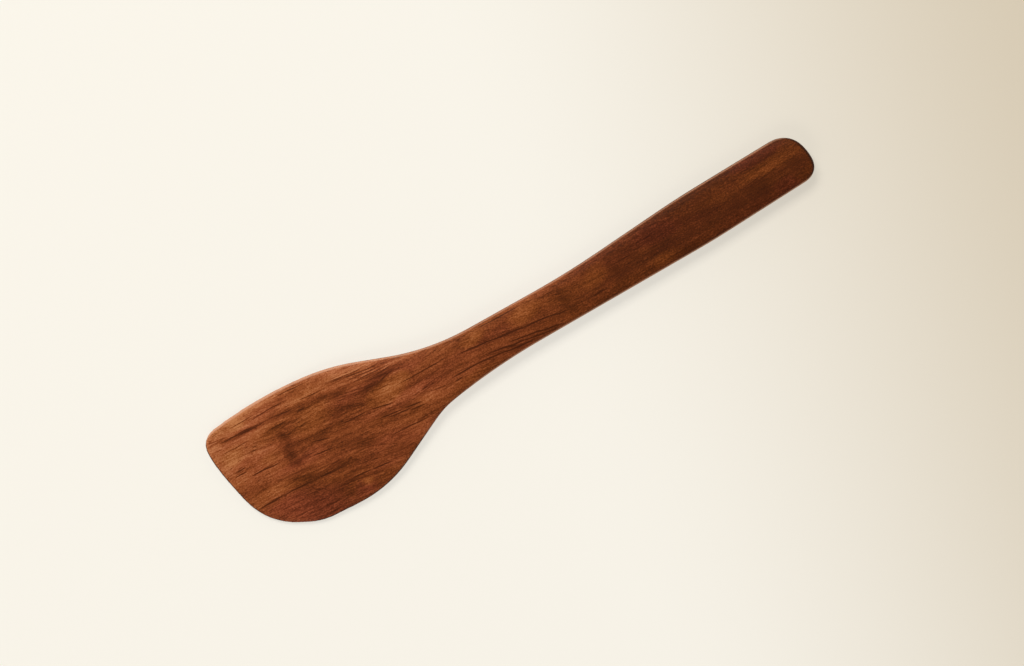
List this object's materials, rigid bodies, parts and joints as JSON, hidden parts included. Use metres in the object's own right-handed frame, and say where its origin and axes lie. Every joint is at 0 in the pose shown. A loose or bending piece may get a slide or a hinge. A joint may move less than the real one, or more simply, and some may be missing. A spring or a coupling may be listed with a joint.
{
  "type": "wooden spatula",
  "caption": "One-piece carved wooden spatula with a broad, thin, slanted blade, a rounded flared handle and a flat back, for stirring, scraping and turning food in a pan.",
  "frame": {"origin": "centre of the bounding box, on the plane of the flat back that the spatula lies on", "axes": "+X along the handle from the blade to the handle's end, +Y toward the side that the handle flares to, +Z out of the carved front face"},
  "size_m": [0.2998, 0.063, 0.008],
  "materials": {
    "wood": "oiled reddish brown hardwood with fine dark pores and streaks, satin"
  },
  "bodies": {
    "root": {"spatula": "wood"}
  },
  "joints": []
}
